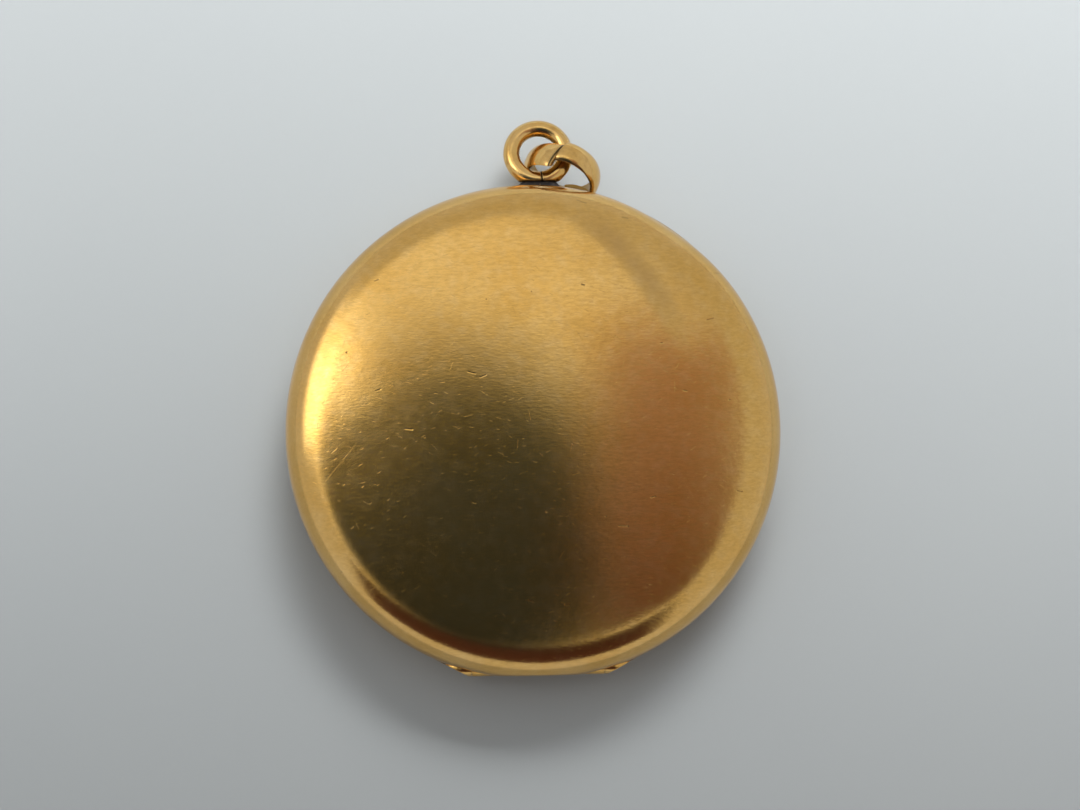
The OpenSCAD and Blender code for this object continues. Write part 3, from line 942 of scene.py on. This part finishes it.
def solder_saddle():
    """The mound of solder between the rim and the foot of the neck loop."""
    low, high = span("neck_saddle")
    middle = (low + high) / 2
    half, deep_half = (high[0] - low[0]) / 2 - 0.04, (high[2] - low[2]) / 2 - 0.02
    foot, floor_y = CASE_R - 0.1, CASE_R - 0.4
    sections = []
    for t in np.linspace(-1, 1, 33):
        top = foot + (LOOP_FOOT + 0.10 - CASE_R + 0.1) * (1 - abs(t) ** 5)
        deep = deep_half * (1 - 0.35 * abs(t) ** 4)
        corners = [(floor_y, -deep), (floor_y, deep), (top, deep * 0.85), (top, -deep * 0.85)]
        sections.append([(middle[0] + t * half, y, middle[2] + z) for y, z in rounded(corners, 0.2, 5)])
    saddle = loft("saddle", sections)
    combine(saddle, "DIFFERENCE", back_rim_solid(SOLDER_TOP))
    softened(saddle, 0.025, 3)
    moved(saddle, lumpy)
    place(saddle, "solder_saddle", "neck_saddle", SOLDER, "back_half", 60)


def loop_section(a, around):
    """One ring of points round the wire at angle a, pinched where the wire's ends meet."""
    from_joint = abs((a - JOINT_A + 180) % 360 - 180)
    pinch = JOINT_PINCH * math.exp(-((from_joint / JOINT_HALF) ** 2))
    rubbed = RUBBED_DEPTH * math.exp(-(((a - RUBBED_A) / RUBBED_SPREAD) ** 2))
    d = math.cos(math.radians(a)) * LOOP_RIGHT + math.sin(math.radians(a)) * LOOP_UP
    made = []
    for c in around:
        worn = rubbed * max(0.0, -math.cos(c))
        wobble = WIRE_WOBBLE * (1 + noise.noise(Vector((a * 0.05, math.cos(c), math.sin(c)))))
        r = WIRE_R * (1 - pinch) - worn - wobble
        made.append(LOOP_C + d * (LOOP_R + r * math.cos(c)) + LOOP_AXIS * r * math.sin(c))
    return made


def filed_foot(co):
    """The foot of the loop filed flat where it is soldered down."""
    out = co.copy()
    out[:, 1] = np.maximum(co[:, 1], LOOP_FOOT)
    return out


def loop_shade_and_grime(co):
    """Dirt in the wire's joint, and painted shade with dirt along the foot and inside the loop."""
    local = co - LOOP_C
    a = np.degrees(np.arctan2(local @ LOOP_UP, local @ LOOP_RIGHT))
    in_plane = np.hypot(local @ LOOP_RIGHT, local @ LOOP_UP)
    joint = np.exp(-(((a - JOINT_A) / 2.6) ** 2))
    foot = 1 - smoothstep(co[:, 1] - LOOP_FOOT, 0.0, 0.12)
    bore = smoothstep(LOOP_R - in_plane, 0.30, 0.46) * 0.55
    return joint + foot * (0.6 + 0.4 * ripple(co, 2.5, 9.0)) + bore * (0.7 + 0.5 * ripple(co, 1.2, 3.0))


def loop_wire():
    """The fixed neck loop, with its joint at the foot."""
    around = np.linspace(0, 2 * math.pi, 48, endpoint=False)
    angles = np.concatenate((np.linspace(-90, -78, 30), np.linspace(-77, 269, 200)))
    loop = loft("loop", [loop_section(a, around) for a in angles], ring=True)
    moved(loop, filed_foot)
    paint(loop, "grime_and_shade", loop_shade_and_grime)
    paint(loop, "wear", lambda co: 0.5 + 0.5 * ripple(co, 0.9, 2.0))
    place(loop, "loop_wire", "neck_loop", POLISHED, "back_half", 60)


thumb_catch()
solder_saddle()
loop_wire()


# ---------------------------------------------------------------- jump ring

RING_AXIS = RING_N / np.linalg.norm(RING_N)
RING_UP = UP - RING_AXIS[2] * RING_AXIS
RING_UP /= np.linalg.norm(RING_UP)
RING_SIDE = np.cross(RING_AXIS, RING_UP)
RING_SEAM, RING_GAP, RING_SKEW, RING_JAG = -15.0, 0.8, 9.0, 1.1
RING_TURN = 360 - 2 * RING_GAP
END_TURN, END_SHARE = 2.5, 0.72
TWIST_START, TWIST, TWIST_LOW = 290 - 2 * RING_GAP, 0.28, 0.30


def band_section(t, share, shift, left):
    """One section of the half-round band at angle t.

    share shrinks it at the two ends, shift skews it near the seam, and left twists the left end down.
    """
    middle = RING_RI + BAND_T * 0.45
    outline = [(RING_RI, w) for w in np.linspace(-0.86, 0.86, 9)]
    for b in np.radians(np.linspace(80, -80, 19)):
        outline.append((RING_RI + BAND_T * (0.25 + 0.75 * math.cos(b)), math.sin(b)))
    made = []
    for radius, w in outline:
        width = w * RING_W / 2 * 0.985
        jag = RING_JAG * noise.noise(Vector((width * 4.0, 8.0, 2.0)))
        angle = math.radians(t + (RING_SKEW * width + jag) * shift)
        worn = 0.010 * (1 + noise.noise(Vector((t * 0.06, width * 2, 1.0))))
        r = middle + (radius - middle) * share - (worn if radius > middle else 0.0)
        d = math.cos(angle) * RING_UP + math.sin(angle) * RING_SIDE
        spread = width * (0.4 + 0.6 * share) - left * (TWIST + TWIST_LOW * (w < 0) * -w)
        made.append(RING_C + d * r + RING_AXIS * spread)
    return made


def ring_shade_and_grime(co):
    """Dirt in the seam, and painted shade inside the band."""
    local = co - RING_C
    t = np.degrees(np.arctan2(local @ RING_SIDE, local @ RING_UP))
    radius = np.hypot(local @ RING_UP, local @ RING_SIDE)
    off = np.abs((t - RING_SEAM - RING_SKEW * (local @ RING_AXIS) + 180) % 360 - 180)
    return np.exp(-((off / (RING_GAP + 1.2)) ** 2)) + 0.45 * smoothstep(RING_RI + 0.09 - radius, 0.0, 0.07)


def link_ring():
    """The open jump ring, from one end of the band round to the other."""
    first, last = np.linspace(0, 5, 9), np.linspace(RING_TURN - 5, RING_TURN, 9)
    sections = []
    for turn in np.concatenate((first, np.linspace(6.5, RING_TURN - 6.5, 200), last)):
        from_end = min(turn, RING_TURN - turn)
        end_share = math.sqrt(1 - (1 - min(from_end / END_TURN, 1.0)) ** 2)
        near = math.exp(-((from_end / 60) ** 2))
        left = smoothstep(turn, TWIST_START, RING_TURN)
        share = END_SHARE + (1 - END_SHARE) * end_share
        sections.append(band_section(RING_SEAM + RING_GAP + turn, share, near, left))
    ring = loft("ring", sections)
    paint(ring, "grime_and_shade", ring_shade_and_grime)
    paint(ring, "wear", lambda co: 0.5 + 0.5 * ripple(co, 0.8, 5.0))
    place(ring, "link_ring", "jump_ring", POLISHED, "jump_ring", 60)


link_ring()


# ---------------------------------------------------------------- studio


def sheet(name, corners):
    """A flat four-cornered mesh, linked to the scene."""
    mesh = bpy.data.meshes.new(name)
    mesh.from_pydata([tuple(c * MM for c in q) for q in corners], [], [(0, 1, 2, 3)])
    obj = bpy.data.objects.new(name, mesh)
    bpy.context.scene.collection.objects.link(obj)
    return obj


def faded(glow, value, low, high):
    """1 in the middle of 0..1, fading to 0 over the low and high shares at the ends."""
    rise = glow.fit(value, 0.0, low, 0.0, 1.0, "SMOOTHSTEP")
    return glow.calc("MULTIPLY", rise, glow.fit(value, 1.0 - high, 1.0, 1.0, 0.0, "SMOOTHSTEP"))


def reflected(name, corners, top_colour, low_colour, soft):
    """A soft-edged card that only shows in reflections, graded from low to top.

    soft gives the shares that fade at the left, right, low and top edges, or one share for a disc.
    """
    obj = sheet(name, corners)
    obj.data.uv_layers.new(name="UVMap").data.foreach_set("uv", (0, 0, 1, 0, 1, 1, 0, 1))
    glow = Finish(name)
    where = glow.node("TexCoord").outputs["UV"]
    axes = glow.node("SeparateXYZ", Vector=where).outputs
    if isinstance(soft, float):
        off = glow.node("VectorMath", {"operation": "DISTANCE"})
        glow.put(off.inputs[0], where)
        glow.put(off.inputs[1], (0.5, 0.5, 0))
        opacity = glow.fit(off.outputs["Value"], 0.5 - soft, 0.5, 1.0, 0.0, "SMOOTHSTEP")
    else:
        left, right, low, top = soft
        across = faded(glow, axes["X"], left, right)
        opacity = glow.calc("MULTIPLY", across, faded(glow, axes["Y"], low, top))
    light = glow.node("Emission", Color=glow.mix(axes["Y"], low_colour, top_colour))
    mixed = glow.node("MixShader", Fac=opacity)
    glow.tree.links.new(glow.node("BsdfTransparent").outputs[0], mixed.inputs[1])
    glow.tree.links.new(light.outputs[0], mixed.inputs[2])
    glow.tree.links.new(mixed.outputs[0], glow.node("OutputMaterial").inputs["Surface"])
    obj.data.materials.append(glow.material)
    obj.visible_camera = False
    obj.visible_diffuse = False
    obj.visible_shadow = False
    obj.visible_transmission = False
    return obj


def level(x0, x1, y0, y1, height):
    """Corners of a level card."""
    return [(x0, y0, height), (x1, y0, height), (x1, y1, height), (x0, y1, height)]


def cards():
    """Cards for the crown to mirror, and one that shades the table's near side."""
    x, y, r = -25.0, -32.0, 94.0
    head = level(x - r, x + r, y - r, y + r, 160)
    reflected("dark_card", head, (0.055, 0.072, 0.095), (0.006, 0.012, 0.028), 0.24)
    hand = level(17, 88, -75, 58, 152)
    reflected("warm_card", hand, (0.50, 0.35, 0.33), (0.06, 0.015, 0.03), (0.35, 0.2, 0.1, 0.2))
    coat = [(-240, -215, 99), (170, -215, 99), (170, -150, 300), (-240, -150, 300)]
    reflected("coat_card", coat, (0.050, 0.030, 0.040), (0.085, 0.038, 0.040), (0.1, 0.1, 0.03, 0.15))
    pane = [(-380, -25, 125), (-280, 300, 125), (-74, 95, 300), (-92, 2, 300)]
    reflected("window_card", pane, (4.4, 4.5, 4.5), (1.5, 1.5, 1.5), (0.4, 0.45, 0.5, 0.12))
    near_side = [(-170, -105, -6), (160, -58, -6), (160, -30, 190), (-170, -100, 190)]
    brown = (0.15, 0.10, 0.07)
    shade = reflected("shade_card", near_side, brown, brown, (0.01, 0.01, 0.01, 0.01))
    shade.visible_glossy = False
    shade.visible_diffuse = True
    shade.visible_shadow = True


def pale_floor():
    """A plain pale table top."""
    half = 1500
    floor = sheet("floor", level(-half, half, -half, half, 0))
    table = Finish("pale_table")
    tone = table.mix(table.noise(0.05, 3.0), (0.375, 0.40, 0.41), (0.39, 0.415, 0.42))
    floor.data.materials.append(table.finish(Base_Color=tone, Roughness=0.3, Specular_IOR_Level=0.35))


def sky():
    """A plain soft sky, brightest overhead and a little to the left."""
    world = bpy.data.worlds.new("studio")
    bpy.context.scene.world = world
    world.use_nodes = True
    tree = world.node_tree
    way = tree.nodes.new("ShaderNodeTexCoord")
    dot = tree.nodes.new("ShaderNodeVectorMath")
    dot.operation = "DOT_PRODUCT"
    dot.inputs[1].default_value = Vector((-0.17, 0.08, 1)).normalized()
    ramp = tree.nodes.new("ShaderNodeMapRange")
    ramp.interpolation_type = "SMOOTHSTEP"
    for key, value in {"From Min": 0.840, "From Max": 0.930, "To Min": 0.62, "To Max": 1.0}.items():
        ramp.inputs[key].default_value = value
    background = tree.nodes["Background"]
    background.inputs["Color"].default_value = (0.97, 0.99, 1.0, 1)
    tree.links.new(way.outputs["Generated"], dot.inputs[0])
    tree.links.new(dot.outputs["Value"], ramp.inputs["Value"])
    tree.links.new(ramp.outputs["Result"], background.inputs["Strength"])


def lamp(name, at, aim, size, power):
    """A soft rectangular lamp."""
    data = bpy.data.lights.new(name, "AREA")
    data.shape = "RECTANGLE"
    data.size, data.size_y = (s * MM for s in size)
    data.energy = power
    obj = bpy.data.objects.new(name, data)
    obj.location = Vector(at) * MM
    obj.rotation_euler = (Vector(aim) * MM - obj.location).to_track_quat("-Z", "Y").to_euler()
    bpy.context.scene.collection.objects.link(obj)
    return obj


def lamps():
    """The window's light, and a fill for the table that is not reflected."""
    lamp("window", (-124, 46, 300), (0, 0, 0), (36, 82), 0.032)
    fill = lamp("fill", (-25, 165, 115), (-44, 78, 0), (300, 100), 0.20)
    fill.data.spread = math.radians(46)
    fill.visible_glossy = False


CAMERA_TARGET = np.array((0.375, 1.5, SEAM))
CAMERA_RANGE, LENS, TILT_X, TILT_Y, ROLL = 147.0, 85.0, -3.5, -4.0, 1.0


def place_camera():
    """Looks down on the front cover from a little below and left of its middle."""
    data = bpy.data.cameras.new("camera")
    data.lens = LENS
    data.clip_start, data.clip_end = 0.01, 10
    camera = bpy.data.objects.new("camera", data)
    bpy.context.scene.collection.objects.link(camera)
    towards = Vector((math.tan(math.radians(TILT_X)), math.tan(math.radians(TILT_Y)), 1)).normalized()
    camera.location = (Vector(CAMERA_TARGET) + towards * CAMERA_RANGE) * MM
    right = Vector((0, 1, 0)).cross(towards).normalized()
    facing = Matrix((right, towards.cross(right), towards)).transposed()
    camera.rotation_euler = (facing @ Matrix.Rotation(math.radians(-ROLL), 3, "Z")).to_euler()
    bpy.context.scene.camera = camera


cards()
pale_floor()
sky()
lamps()
place_camera()
bpy.context.scene.view_settings.view_transform = "Standard"
